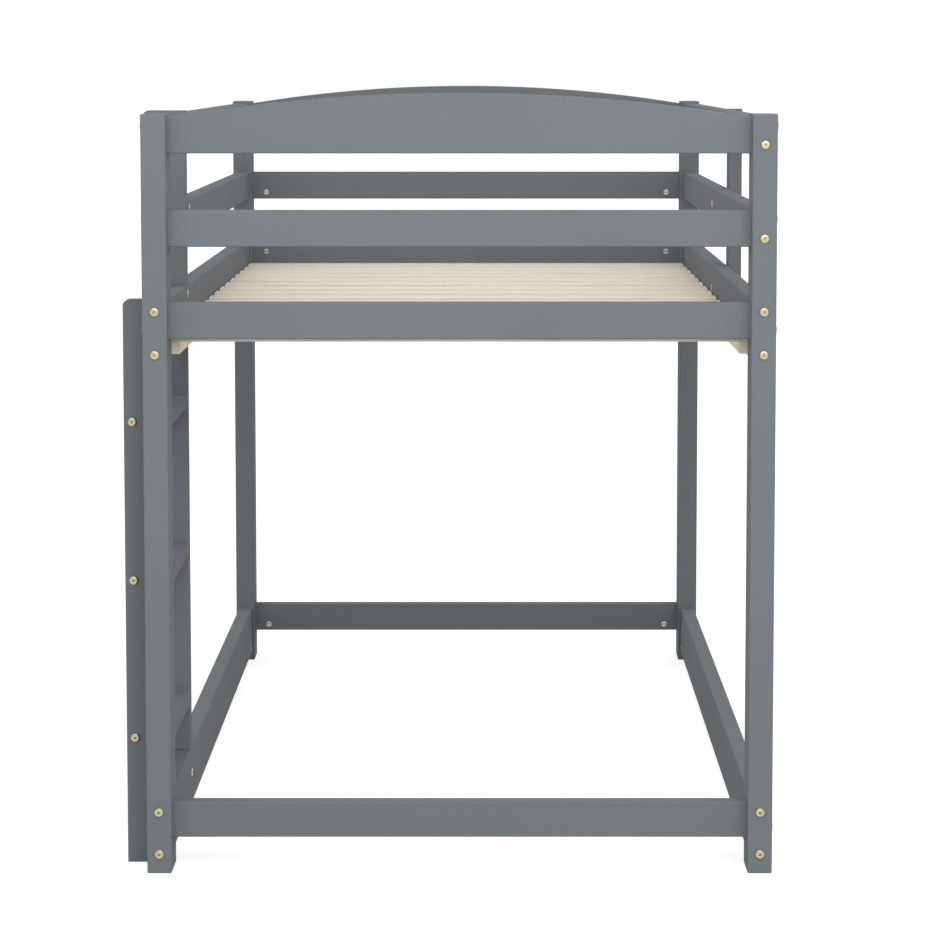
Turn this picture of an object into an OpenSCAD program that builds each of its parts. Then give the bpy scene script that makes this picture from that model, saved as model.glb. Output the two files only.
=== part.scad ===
// Low twin-over-twin bunk bed with an upright ladder at its front left corner.
// Millimetres, +Z up. The origin is at floor level, in the middle of the base of the whole bed.
// +X is the bed's right, +Y its rear. The ladder is on the left, at the front.

/* [Bed] */
// Width over the outer faces of the posts
bed_w = 1072; // [1040:1:1110]
// Length over the outer faces of the posts
bed_l = 2030; // [1980:1:2080]
// Height of the posts
post_h = 1300; // [1298:1:1360]
// Width of a post across the bed
post_w = 42; // [40:1:46]
// Depth of a post along the bed
post_d = 80; // [76:1:90]
// Thickness of the rails and boards
board_t = 30; // [28:1:32]
// Radius of the eased edges on posts and boards
edge_r = 2.5; // [1.5:0.5:4]

/* [Heights] */
// Bottom of the floor side rails
floor_rail_z = 18.5; // [10:0.5:24]
// Bottom of the deck side rails
deck_rail_z = 878; // [870:1:886]
// Height of the floor and deck side rails
deep_rail_h = 104; // [100:1:110]
// Bottom of the front floor board
front_floor_z = 57.5; // [52:0.5:66]
// Bottom of the rear floor board
rear_floor_z = 66; // [52:0.5:70]
// Bottom of the deck end boards
deck_board_z = 918.5; // [914:0.5:922]
// Bottom of the middle boards and middle guards
middle_z = 1075; // [1070:1:1080]
// Bottom of the arched boards and top guards
top_z = 1233; // [1228:0.5:1236]
// Height of the end boards and of the guards
slim_h = 62; // [60:1:66]
// Rise of the arch above the ends of the arched boards
arch_rise = 40; // [20:1:60]

/* [Placing] */
// Inset of the side rails from the outer faces of the posts
rail_inset = 6; // [4:0.5:8]
// Width of the guard plank along the bed
plank_w = 62; // [56:1:70]
// Thickness of the guard plank
plank_t = 26; // [24:1:30]

/* [Ladder] */
// Width of the stiles and rungs across the bed
ladder_w = 78; // [74:1:86]
// Thickness of a stile
stile_t = 25; // [24:1:28]
// Gap between the two stiles
ladder_gap = 321; // [300:1:340]
// Top of the lowest rung
first_rung_top = 232; // [225:1:240]
// Distance from one rung to the next
rung_pitch = 275.5; // [270:0.5:280]
// Thickness of a rung
rung_t = 24; // [22:1:26]
// Radius of the rounded top corner of a stile
stile_corner_r = 12; // [6:1:20]

/* [Deck] */
// Number of slats
slat_count = 15; // [15:1:15]
// Width of a slat
slat_w = 70; // [60:1:80]
// Thickness of a slat
slat_t = 19; // [17:1:20]
// Gap between the end of a slat and the rail
slat_end_gap = 2.5; // [1:0.5:4]
// Width of a ledger
ledger_w = 20; // [18:1:22]
// Height of a ledger
ledger_h = 21; // [20:1:24]
// Top of the ledgers
ledger_top = 909; // [906:1:911]

/* [Hardware] */
// Diameter of a bolt head
head_d = 16; // [14:0.5:17]
// Thickness of a bolt head
head_t = 4.2; // [3:0.1:5]
// Diameter of a bolt shank
shank_d = 6; // [5.8:0.1:6.2]
// Size of the hex socket across its flats
hex_af = 5; // [4:0.5:5]
// Diameter of a round nut
nut_d = 14; // [12:0.5:15]
// Diameter of a wooden dowel
dowel_d = 8; // [7:0.5:9]

/* [Hidden] */
GREY = "#7f8487";
PINE = "#d9cdb4";
BRASS = "#d8c482";
ZINC = "#c9c9c4";
BEECH = "#c8a878";

LEFT = -1;
RIGHT = 1;
FRONT = -1;
REAR = 1;
SIDES = [LEFT, RIGHT];
ENDS = [FRONT, REAR];

ROUND_FN = 48;
ARC_FN = 360;
FIT = 0.1;            // play between a fastener and its own bore
EPS = 1;              // overrun of a cutter past the face that it opens
ledger_ease = 1;      // eased edges of the ledgers and slats
slat_ease = 2;

// Across the bed, from its centre line
post_out = bed_w / 2;
post_in = post_out - post_w;
rail_out = post_out - rail_inset;
rail_in = rail_out - board_t;
rail_mid = rail_out - board_t / 2;
stile_out = rail_in + ladder_w;
plank_out = rail_out + plank_t;
slat_half = rail_in - slat_end_gap;
ledger_in = rail_in - ledger_w;

// Along the bed, from the front faces of the front posts
rail_y0 = post_d;
rail_y1 = bed_l - post_d;
tall_y0 = rail_y0 + stile_t + ladder_gap;
tall_y1 = tall_y0 + stile_t;
short_mid = rail_y0 + stile_t / 2;
tall_mid = tall_y0 + stile_t / 2;
plank_mid = bed_l / 2;

// Upright levels
deck_rail_top = deck_rail_z + deep_rail_h;
slat_top = ledger_top + slat_t;
guard_top = top_z + slim_h;
arch_r = (pow(post_in, 2) + pow(arch_rise, 2)) / (2 * arch_rise);

// Fastener layout
deep_bolt_off = 36.5;      // bolts above and below the middle of a deep side rail
slim_off = 15.5;           // bolt and dowel above and below the middle of a guard or end board
low_board_bolt = 14.5;     // bolt above the bottom of a floor or front deck board
rear_deck_bolt = 35;       // bolt above the bottom of the rear deck board
board_dowel_gap = 24;      // from either bolt to the dowel beside it
deep_dowel_off = -15;      // dowel below the middle of a deep side rail
nut_back = 32;             // nut from the end of its board
nut_proud = 0.8;           // nut face above the board's face
nut_sunk = 0.5;            // nut face below the rail's face where a ledger covers it
nut_slot_w = 1.6;
nut_slot_d = 1.4;
bolt_d = shank_d + 1;      // clearance bore for a bolt
bolt_past_nut = 9;
board_nut_len = 22;
rung_nut_d = 12;
rung_nut_len = 18;
post_dowel_depth = 15;
rail_dowel_depth = 20;
dowel_run = 20;            // dowel into its board or rail
short_bolts = [78, 930];   // bolts through the short stile into the floor and deck rails
tall_bolts = [78, 966];    // the same through the tall stile
plank_deck_z = 937;        // bolt through the guard plank into the deck rail
rung_fix_in = 15.2;        // rung bolt and dowel from the edges of a stile
stile_dowel_depth = 13;
notch_play = 0.5;          // play above and below a rail in its notch
stile_head_proud = 0.8;    // sunk bolt heads above the outer faces of the stiles
sink_play = 0.5;           // play all round a sunk head
insert_d = 10;
insert_len = 15;
insert_flange_d = 15;
insert_flange_t = 1.5;
insert_hex_af = 6;
insert_hex_end = 3;        // end of the hex opening inside the insert
tip_inset = 4;             // bolt tip from the inner face of its rail
cam_d = 15;
cam_h = 19;
cam_back = 32;             // cam from the end of its guard
cam_pin_thread = 12;
cam_pin_d = 6;
cam_pin_head = 7.4;
screw_head_d = 8;
screw_d = 4;
slat_screw_len = 34;
slat_screw_in = 9;         // slat screw from the end of the slat
ledger_screw_len = 42;
ledger_screw_count = 8;
ledger_screw_end = 90;     // first ledger screw from the end of the ledger

end_bolt_bore = nut_back + bolt_past_nut + 2;
dowel_bore_d = dowel_d + 2 * FIT;
cam_bore_d = cam_pin_head + 2 * FIT;
slim_mid = slim_h / 2;
rung_tops = [for (i = [0:2]) first_rung_top + i * rung_pitch];
rung_bolt_x = -stile_out + rung_fix_in;
rung_dowel_x = -rail_in - rung_fix_in;
deck_end_gap = 1;          // ledgers and end slats from the posts
slat_pitch = (rail_y1 - rail_y0 - slat_w - 2 * deck_end_gap) / (slat_count - 1);
ledger_y0 = rail_y0 + deck_end_gap;
ledger_len = rail_y1 - rail_y0 - 2 * deck_end_gap;
ledger_mid_z = ledger_top - ledger_h / 2;
ledger_screw_step = (ledger_len - 2 * ledger_screw_end) / (ledger_screw_count - 1);
plank_bolt_heights = [plank_deck_z, middle_z + slim_mid, top_z + slim_mid];
stile_sink = head_t - stile_head_proud;
stile_head_x = stile_out - stile_sink;
stile_bolt_len = stile_head_x - rail_in - tip_inset;
plank_bolt_len = plank_out - rail_in - tip_inset;

// The bed's frame moves by this to put the origin in the middle of its base
origin_x = (stile_head_x - plank_out) / 2;
origin_y = -bed_l / 2;

// Bolt and dowel heights. A guard's fasteners swap places from one end of it to the other.
function guard_bolt(z, end) = z + slim_mid + end * slim_off;
function guard_dowel(z, end) = z + slim_mid - end * slim_off;
function deep_bolts(z) = [for (s = [-1, 1]) z + deep_rail_h / 2 + s * deep_bolt_off];
function deep_dowel(z) = z + deep_rail_h / 2 + deep_dowel_off;
function has_guards(side, end) = side == RIGHT || end == REAR;
function rail_bolt_heights(side, end) = concat(
    deep_bolts(floor_rail_z),
    deep_bolts(deck_rail_z),
    has_guards(side, end) ? [guard_bolt(middle_z, end), guard_bolt(top_z, end)] : []
);
function rail_dowel_heights(side, end) = concat(
    [deep_dowel(floor_rail_z), deep_dowel(deck_rail_z)],
    has_guards(side, end) ? [guard_dowel(middle_z, end), guard_dowel(top_z, end)] : []
);
// End boards of one end, from the floor up: [bottom, bolt height, dowel height]
function floor_board_z(end) = end == FRONT ? front_floor_z : rear_floor_z;
function board_level(z, bolt, dowel) = [z, z + bolt, z + bolt + dowel];
function end_levels(end) = [
    board_level(floor_board_z(end), low_board_bolt, board_dowel_gap),
    end == FRONT ? board_level(deck_board_z, low_board_bolt, board_dowel_gap)
        : board_level(deck_board_z, rear_deck_bolt, -board_dowel_gap),
    [middle_z, guard_dowel(middle_z, end), guard_bolt(middle_z, end)],
    [top_z, guard_dowel(top_z, end), guard_bolt(top_z, end)],
];
function end_y(end) = end == FRONT ? post_d / 2 : bed_l - post_d / 2;
function post_face_y(end) = end == FRONT ? 0 : bed_l;
function rail_end_y(end) = end == FRONT ? rail_y0 : rail_y1;
function nut_rise(z) = abs(z - ledger_mid_z) < (ledger_h + nut_d) / 2 ? -nut_sunk : nut_proud;
function ledger_screw_y(i) = ledger_y0 + ledger_screw_end + i * ledger_screw_step;
function cam_z(z) = guard_dowel(z, FRONT);
function slat_y(i) = ledger_y0 + slat_w / 2 + (i - 1) * slat_pitch;
function slat_name(i) = str("slat_", i < 10 ? "0" : "", i);

// ---- Frame and directions ----

module in_bed() {
    translate([origin_x, origin_y, 0]) children();
}

// Turns a piece that is drawn along +Z so that it runs along the named direction.
module to_x(s) {
    rotate([0, s * 90, 0]) children();
}
module to_y(s) {
    rotate([-s * 90, 0, 0]) children();
}
module to_floor() {
    rotate([180, 0, 0]) children();
}

// Bores, each from the centre of its mouth along X or Y, on the side s.
module bore_x(x, y, z, s, len, d) {
    translate([x - s * EPS, y, z]) to_x(s) cylinder(d = d, h = len + EPS, $fn = ROUND_FN);
}
module bore_y(x, y, z, s, len, d) {
    translate([x, y - s * EPS, z]) to_y(s) cylinder(d = d, h = len + EPS, $fn = ROUND_FN);
}

// ---- Timber ----

// Rectangle with eased corners, centred on the origin.
module eased_rect(w, h, r = edge_r) {
    square([w - 2 * r, h], center = true);
    square([w, h - 2 * r], center = true);
    for (x = [-1, 1], y = [-1, 1])
        translate([x * (w / 2 - r), y * (h / 2 - r)]) circle(r = r, $fn = ROUND_FN);
}

// Rail along the bed, from y0 to y1, with its inner face towards the bed's centre line.
module rail_timber(side, z, h, y0, y1) {
    translate([side * rail_mid, y0, z + h / 2])
        to_y(1) linear_extrude(y1 - y0) eased_rect(board_t, h);
}

// Board across the bed between the inner faces of the posts.
module board_timber(end, z, h) {
    translate([-post_in, end_y(end), z + h / 2])
        to_x(1) linear_extrude(2 * post_in) eased_rect(h, board_t);
}

// Bore for a bolt in the end of a rail, with the cross bore of its nut from the inner face.
module rail_end_bolt(side, end, z) {
    s = -end;
    y = rail_end_y(end);
    bore_y(side * rail_mid, y, z, s, end_bolt_bore, bolt_d);
    bore_x(side * rail_in, y + s * nut_back, z, side, board_nut_len, nut_d + 2 * FIT);
}
module rail_end_dowel(side, end, z) {
    bore_y(side * rail_mid, rail_end_y(end), z, -end, dowel_run + 1, dowel_bore_d);
}

// ---- Posts and boards ----

// Post with every edge eased. Rails meet its inner Y face, end boards its inner X face.
module post(side, end) {
    x = side * (post_out - post_w / 2);
    y = end_y(end);
    in_bed() color(GREY) difference() {
        intersection() {
            translate([x, y, 0]) linear_extrude(post_h) eased_rect(post_w, post_d);
            translate([x, y - post_d / 2, post_h / 2])
                to_y(1) linear_extrude(post_d) eased_rect(post_w, post_h);
            translate([x - post_w / 2, y, post_h / 2])
                to_x(1) linear_extrude(post_w) eased_rect(post_h, post_d);
        }
        for (z = rail_bolt_heights(side, end))
            bore_y(side * rail_mid, post_face_y(end), z, -end, post_d + EPS, bolt_d);
        for (z = rail_dowel_heights(side, end))
            bore_y(side * rail_mid, rail_end_y(end), z, end, rail_dowel_depth, dowel_bore_d);
        for (level = end_levels(end)) {
            bore_x(side * post_out, y, level[1], -side, post_w + EPS, bolt_d);
            bore_x(side * post_in, y, level[2], side, post_dowel_depth, dowel_bore_d);
        }
    }
}

// Bores in both ends of an end board. The nuts go in from its inner face.
module board_bores(end, bolt_z, dowel_z) {
    for (side = SIDES) {
        bore_x(side * post_in, end_y(end), bolt_z, -side, end_bolt_bore, bolt_d);
        bore_y(side * (post_in - nut_back), end_y(end) - end * board_t / 2, bolt_z,
            end, board_nut_len, nut_d + 2 * FIT);
        bore_x(side * post_in, end_y(end), dowel_z, -side, dowel_run + 1, dowel_bore_d);
    }
}

// Straight end board. Level 0 is the lowest.
module end_board(end, index) {
    level = end_levels(end)[index];
    in_bed() color(GREY) difference() {
        board_timber(end, level[0], slim_h);
        board_bores(end, level[1], level[2]);
    }
}

// Ring segment whose outer edge is the arch, revolved about a line along the bed far below it.
module arch_band(end) {
    band = slim_h + arch_rise + 10;
    half_angle = asin(post_in / arch_r) + 1;
    translate([0, end_y(end), guard_top + arch_rise - arch_r])
        rotate([90, 0, 0])
            rotate([0, 0, 90 - half_angle])
                rotate_extrude(angle = 2 * half_angle, $fn = ARC_FN)
                    translate([arch_r - band / 2, 0]) eased_rect(band, board_t);
}

// Top end board, with a straight bottom edge and an arched top.
module arched_board(end) {
    level = end_levels(end)[3];
    in_bed() color(GREY) difference() {
        intersection() {
            board_timber(end, level[0], slim_h + arch_rise + 2 * edge_r);
            arch_band(end);
        }
        board_bores(end, level[1], level[2]);
    }
}

// ---- Side rails and guards ----

// Floor or deck side rail, with two bolts and a dowel at each end. Its children are cut away.
module deep_rail(side, z) {
    in_bed() color(GREY) difference() {
        rail_timber(side, z, deep_rail_h, rail_y0, rail_y1);
        for (end = ENDS) {
            for (bolt_z = deep_bolts(z)) rail_end_bolt(side, end, bolt_z);
            rail_end_dowel(side, end, deep_dowel(z));
        }
        children();
    }
}

// Bore through a rail for a bolt from outside it and for the insert in its inner face.
module insert_bore(side, y, z) {
    bore_x(side * rail_in, y, z, side, board_t + EPS, bolt_d);
    bore_x(side * rail_in, y, z, side, insert_len, insert_d + 2 * FIT);
}

// Bores in a left rail for the bolts through the two stiles. Level 0 is the floor rail.
module stile_bolt_bores(index) {
    insert_bore(LEFT, short_mid, short_bolts[index]);
    insert_bore(LEFT, tall_mid, tall_bolts[index]);
}

// Pilot bores in a deck rail for the screws through its ledger.
module ledger_pilot_bores(side) {
    for (i = [0:ledger_screw_count - 1])
        bore_x(side * rail_in, ledger_screw_y(i), ledger_mid_z, side,
            ledger_screw_len - ledger_w + 1, screw_d + 2 * FIT);
}

module left_floor_rail() {
    deep_rail(LEFT, floor_rail_z) stile_bolt_bores(0);
}

module right_floor_rail() {
    deep_rail(RIGHT, floor_rail_z);
}

module left_deck_rail() {
    deep_rail(LEFT, deck_rail_z) {
        stile_bolt_bores(1);
        ledger_pilot_bores(LEFT);
    }
}

module right_deck_rail() {
    deep_rail(RIGHT, deck_rail_z) {
        insert_bore(RIGHT, plank_mid, plank_deck_z);
        ledger_pilot_bores(RIGHT);
    }
}

// Guard on the right, from post to post.
module right_guard(z) {
    in_bed() color(GREY) difference() {
        rail_timber(RIGHT, z, slim_h, rail_y0, rail_y1);
        for (end = ENDS) {
            rail_end_bolt(RIGHT, end, guard_bolt(z, end));
            rail_end_dowel(RIGHT, end, guard_dowel(z, end));
        }
        insert_bore(RIGHT, plank_mid, z + slim_mid);
    }
}

// Guard on the left, from the tall stile to the rear post. A cam and a dowel join it to the stile.
module left_guard(z) {
    in_bed() color(GREY) difference() {
        rail_timber(LEFT, z, slim_h, tall_y1, rail_y1);
        rail_end_bolt(LEFT, REAR, guard_bolt(z, REAR));
        rail_end_dowel(LEFT, REAR, guard_dowel(z, REAR));
        bore_y(-rail_mid, tall_y1, cam_z(z), 1, cam_back, cam_bore_d);
        bore_x(-rail_in, tall_y1 + cam_back, cam_z(z), LEFT, cam_h, cam_d + 2 * FIT);
        bore_y(-rail_mid, tall_y1, guard_bolt(z, FRONT), 1, dowel_run + 1, dowel_bore_d);
    }
}

// Upright that ties the right guards to the deck rail, on their outer faces.
module guard_plank() {
    in_bed() color(GREY) difference() {
        translate([rail_out + plank_t / 2, plank_mid, deck_rail_z])
            linear_extrude(guard_top - deck_rail_z) eased_rect(plank_t, plank_w);
        for (z = plank_bolt_heights)
            bore_x(plank_out, plank_mid, z, LEFT, plank_t + EPS, bolt_d);
    }
}

// ---- Ladder ----

// Stile outline in the X-Z plane, with its top outer corner rounded.
module stile_outline(h) {
    r = stile_corner_r;
    translate([-stile_out + r, 0]) square([ladder_w - r, h]);
    translate([-stile_out, 0]) square([ladder_w, h - r]);
    translate([-stile_out + r, h - r]) circle(r = r, $fn = ROUND_FN);
}

// Notch that lets a side rail pass through a stile.
module rail_notch(y0, z) {
    translate([-rail_out, y0 - EPS, z - notch_play])
        cube([board_t + EPS, stile_t + 2 * EPS, deep_rail_h + 2 * notch_play]);
}

// Upright of the ladder, from y0. The rungs meet its face on the side s. Its children are cut away.
module stile(y0, h, s, bolt_heights) {
    inner_y = s > 0 ? y0 + stile_t : y0;
    outer_y = s > 0 ? y0 : y0 + stile_t;
    in_bed() color(GREY) difference() {
        intersection() {
            translate([0, y0 + stile_t, 0])
                rotate([90, 0, 0]) linear_extrude(stile_t) stile_outline(h);
            translate([-stile_out + ladder_w / 2, y0 + stile_t / 2, 0])
                linear_extrude(h) eased_rect(ladder_w, stile_t);
        }
        rail_notch(y0, floor_rail_z);
        rail_notch(y0, deck_rail_z);
        for (top = rung_tops) {
            bore_y(rung_bolt_x, outer_y, top - rung_t / 2, s, stile_t + EPS, bolt_d);
            bore_y(rung_dowel_x, inner_y, top - rung_t / 2, -s, stile_dowel_depth, dowel_bore_d);
        }
        for (z = bolt_heights) {
            bore_x(-stile_out, y0 + stile_t / 2, z, RIGHT, ladder_w, bolt_d);
            bore_x(-stile_out, y0 + stile_t / 2, z, RIGHT, stile_sink, head_d + 2 * sink_play);
        }
        children();
    }
}

module short_stile() {
    stile(rail_y0, deck_rail_top, 1, short_bolts);
}

module tall_stile() {
    stile(tall_y0, post_h, -1, tall_bolts)
        for (z = [middle_z, top_z]) {
            bore_y(-rail_mid, tall_y1, cam_z(z), -1, cam_pin_thread, cam_pin_d + 2 * FIT);
            bore_y(-rail_mid, tall_y1, guard_bolt(z, FRONT), -1,
                stile_dowel_depth, dowel_bore_d);
        }
}

// Flat rung between the stiles. Its nuts go in from below.
module rung(index) {
    z = rung_tops[index] - rung_t / 2;
    y0 = rail_y0 + stile_t;
    in_bed() color(GREY) difference() {
        translate([-stile_out + ladder_w / 2, y0, z])
            to_y(1) linear_extrude(ladder_gap) eased_rect(ladder_w, rung_t);
        for (s = [-1, 1]) {
            face_y = s < 0 ? y0 : tall_y0;
            bore_y(rung_bolt_x, face_y, z, -s, end_bolt_bore, bolt_d);
            bore_y(rung_dowel_x, face_y, z, -s, dowel_run + 1, dowel_bore_d);
            translate([rung_bolt_x, face_y - s * nut_back, z - rung_t / 2 - EPS])
                cylinder(d = rung_nut_d + 2 * FIT, h = rung_nut_len + EPS, $fn = ROUND_FN);
        }
    }
}

// ---- Deck ----

module ledger(side) {
    in_bed() color(PINE) difference() {
        translate([side * (rail_in - ledger_w / 2), ledger_y0, ledger_mid_z])
            to_y(1) linear_extrude(ledger_len) eased_rect(ledger_w, ledger_h, ledger_ease);
        for (i = [0:ledger_screw_count - 1])
            translate([side * ledger_in, ledger_screw_y(i), ledger_mid_z])
                to_x(side) screw_bore(ledger_screw_len);
        for (i = [1:slat_count])
            translate([side * (slat_half - slat_screw_in), slat_y(i), slat_top])
                to_floor() screw_bore(slat_screw_len);
    }
}

module slat(number) {
    y = slat_y(number);
    in_bed() color(PINE) difference() {
        translate([-slat_half, y, ledger_top + slat_t / 2])
            to_x(1) linear_extrude(2 * slat_half) eased_rect(slat_t, slat_w, slat_ease);
        for (side = SIDES)
            translate([side * (slat_half - slat_screw_in), y, slat_top])
                to_floor() screw_bore(slat_screw_len);
    }
}

// ---- Hardware, each drawn along +Z from the face that it seats on ----

// Bolt with a domed head and a hex socket. Its head stands below z = 0, its shank runs up.
module bolt(len) {
    rim = 1.4;
    flat_r = 4.4;
    collar_h = 4;
    tip = 0.8;
    r = shank_d / 2;
    dome = [for (a = [90:-18:0])
        [flat_r + (head_d / 2 - flat_r) * cos(a), -rim - (head_t - rim) * sin(a)]];
    difference() {
        rotate_extrude($fn = ROUND_FN) polygon(concat([[0, -head_t]], dome, [
            [head_d / 2, 0],
            [r + 0.4, 0],
            [r + 0.4, collar_h],
            [r, collar_h],
            [r, len - tip],
            [r - tip, len],
            [0, len]
        ]));
        translate([0, 0, -head_t - EPS])
            cylinder(d = hex_af / cos(30), h = head_t + EPS + 2, $fn = 6);
    }
}

// Round nut with a slotted face at z = 0, a body that runs up and a cross bore along Y.
module round_nut(d, len, bolt_at) {
    bevel = 0.6;
    difference() {
        rotate_extrude($fn = ROUND_FN) polygon([
            [0, 0], [d / 2 - bevel, 0], [d / 2, bevel], [d / 2, len], [0, len]
        ]);
        translate([-nut_slot_w / 2, -d / 2 - EPS, -EPS])
            cube([nut_slot_w, d + 2 * EPS, nut_slot_d + EPS]);
        bore_y(0, -d / 2, bolt_at, 1, d + EPS, shank_d + 2 * FIT);
    }
}

module dowel(len) {
    r = dowel_d / 2;
    rotate_extrude($fn = ROUND_FN)
        polygon([[0, 0], [r - 1, 0], [r, 1], [r, len - 1], [r - 1, len], [0, len]]);
}

// Countersunk wood screw with its head flush at z = 0, grown all round by grow.
module screw_body(len, grow) {
    head_r = screw_head_d / 2 + grow;
    r = screw_d / 2 + grow;
    point = 5;
    rotate_extrude($fn = ROUND_FN)
        polygon([[0, 0], [head_r, 0], [r, head_r - r], [r, len - point], [0, len + grow]]);
}

module screw(len) {
    difference() {
        screw_body(len, 0);
        cross_recess(4.4, 1, 1.6);
    }
}

module screw_bore(len) {
    screw_body(len, FIT);
    translate([0, 0, -EPS]) cylinder(r = screw_head_d / 2 + FIT, h = EPS, $fn = ROUND_FN);
}

module cross_recess(arm, blade, depth) {
    for (a = [0, 90]) rotate([0, 0, a])
        translate([-arm / 2, -blade / 2, -EPS]) cube([arm, blade, depth + EPS]);
}

// Threaded insert. Its flange stands below z = 0, with a hex opening right through it.
module insert() {
    difference() {
        rotate_extrude($fn = ROUND_FN) polygon([
            [0, -insert_flange_t],
            [insert_flange_d / 2 - 0.5, -insert_flange_t],
            [insert_flange_d / 2, -insert_flange_t + 0.5],
            [insert_flange_d / 2, 0],
            [insert_d / 2, 0],
            [insert_d / 2, insert_len - 1],
            [insert_d / 2 - 1, insert_len],
            [0, insert_len]
        ]);
        translate([0, 0, insert_hex_end - EPS])
            cylinder(d = shank_d + 2 * FIT, h = insert_len, $fn = ROUND_FN);
        translate([0, 0, -insert_flange_t - EPS])
            cylinder(d = insert_hex_af / cos(30),
                h = insert_flange_t + EPS + insert_hex_end, $fn = 6);
    }
}

// Cam with its cross recess at z = 0 and a bore in its side for the head of its pin.
module cam() {
    difference() {
        cylinder(d = cam_d, h = cam_h, $fn = ROUND_FN);
        cross_recess(7, 1.6, 2);
        bore_y(0, 0, nut_proud + board_t / 2, -1, cam_d, cam_bore_d);
    }
}

// Pin with a plain thread below z = 0, a collar on the stile, a neck and a head for the cam.
module cam_pin() {
    r = cam_pin_d / 2;
    collar = 0.6;
    neck_top = cam_back - 4;
    neck = 4;
    rotate_extrude($fn = ROUND_FN) {
        translate([0, -cam_pin_thread]) square([r, neck_top - neck + cam_pin_thread]);
        square([r + collar, 2]);
        square([r - 1, cam_back]);
        translate([0, neck_top]) square([cam_pin_head / 2, 3]);
    }
}

// ---- Groups of the same fastener ----

module rail_bolts() {
    in_bed() color(BRASS)
        for (side = SIDES, end = ENDS, z = rail_bolt_heights(side, end))
            translate([side * rail_mid, post_face_y(end), z])
                to_y(-end) bolt(post_d + nut_back + bolt_past_nut);
}

module board_bolts() {
    in_bed() color(BRASS)
        for (side = SIDES, end = ENDS, level = end_levels(end))
            translate([side * post_out, end_y(end), level[1]])
                to_x(-side) bolt(post_w + nut_back + bolt_past_nut);
}

module rung_bolts() {
    len = stile_t + nut_back + bolt_past_nut;
    in_bed() color(BRASS)
        for (top = rung_tops) {
            translate([rung_bolt_x, rail_y0, top - rung_t / 2]) to_y(1) bolt(len);
            translate([rung_bolt_x, tall_y1, top - rung_t / 2]) to_y(-1) bolt(len);
        }
}

module stile_bolts() {
    in_bed() color(BRASS) {
        for (z = short_bolts)
            translate([-stile_head_x, short_mid, z]) to_x(RIGHT) bolt(stile_bolt_len);
        for (z = tall_bolts)
            translate([-stile_head_x, tall_mid, z]) to_x(RIGHT) bolt(stile_bolt_len);
    }
}

module plank_bolts() {
    in_bed() color(BRASS)
        for (z = plank_bolt_heights)
            translate([plank_out, plank_mid, z]) to_x(LEFT) bolt(plank_bolt_len);
}

module rail_nuts() {
    in_bed() color(ZINC)
        for (side = SIDES, end = ENDS, z = rail_bolt_heights(side, end))
            translate([side * (rail_in - nut_rise(z)), rail_end_y(end) - end * nut_back, z])
                to_x(side) round_nut(nut_d, board_nut_len - nut_sunk, nut_rise(z) + board_t / 2);
}

module board_nuts() {
    face = board_t / 2 + nut_proud;
    in_bed() color(ZINC)
        for (side = SIDES, end = ENDS, level = end_levels(end))
            translate([side * (post_in - nut_back), end_y(end) - end * face, level[1]])
                to_y(end) rotate([0, 0, 90]) round_nut(nut_d, board_nut_len, face);
}

module rung_nuts() {
    in_bed() color(ZINC)
        for (top = rung_tops, y = [rail_y0 + stile_t + nut_back, tall_y0 - nut_back])
            translate([rung_bolt_x, y, top - rung_t])
                round_nut(rung_nut_d, rung_nut_len, rung_t / 2);
}

module threaded_inserts() {
    in_bed() color(ZINC) {
        for (z = short_bolts) translate([-rail_in, short_mid, z]) to_x(LEFT) insert();
        for (z = tall_bolts) translate([-rail_in, tall_mid, z]) to_x(LEFT) insert();
        for (z = plank_bolt_heights) translate([rail_in, plank_mid, z]) to_x(RIGHT) insert();
    }
}

module guard_cams() {
    in_bed() color(ZINC)
        for (z = [middle_z, top_z])
            translate([-rail_in + nut_proud, tall_y1 + cam_back, cam_z(z)]) to_x(LEFT) cam();
}

module cam_pins() {
    in_bed() color(ZINC)
        for (z = [middle_z, top_z])
            translate([-rail_mid, tall_y1, cam_z(z)]) to_y(1) cam_pin();
}

module dowels() {
    stile_dowel = dowel_run + stile_dowel_depth - 1;
    in_bed() color(BEECH) {
        for (side = SIDES, end = ENDS, z = rail_dowel_heights(side, end))
            translate([side * rail_mid, rail_end_y(end) - end * dowel_run, z])
                to_y(end) dowel(dowel_run + rail_dowel_depth - 1);
        for (side = SIDES, end = ENDS, level = end_levels(end))
            translate([side * (post_in - dowel_run), end_y(end), level[2]])
                to_x(side) dowel(dowel_run + post_dowel_depth - 1);
        for (z = [middle_z, top_z])
            translate([-rail_mid, tall_y1 + dowel_run, guard_bolt(z, FRONT)])
                to_y(-1) dowel(stile_dowel);
        for (top = rung_tops) {
            translate([rung_dowel_x, rail_y0 + stile_t + dowel_run, top - rung_t / 2])
                to_y(-1) dowel(stile_dowel);
            translate([rung_dowel_x, tall_y0 - dowel_run, top - rung_t / 2])
                to_y(1) dowel(stile_dowel);
        }
    }
}

module ledger_screws() {
    in_bed() color(ZINC)
        for (side = SIDES, i = [0:ledger_screw_count - 1])
            translate([side * ledger_in, ledger_screw_y(i), ledger_mid_z])
                to_x(side) screw(ledger_screw_len);
}

module slat_screws() {
    in_bed() color(BRASS)
        for (side = SIDES, i = [1:slat_count])
            translate([side * (slat_half - slat_screw_in), slat_y(i), slat_top])
                to_floor() screw(slat_screw_len);
}

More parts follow.
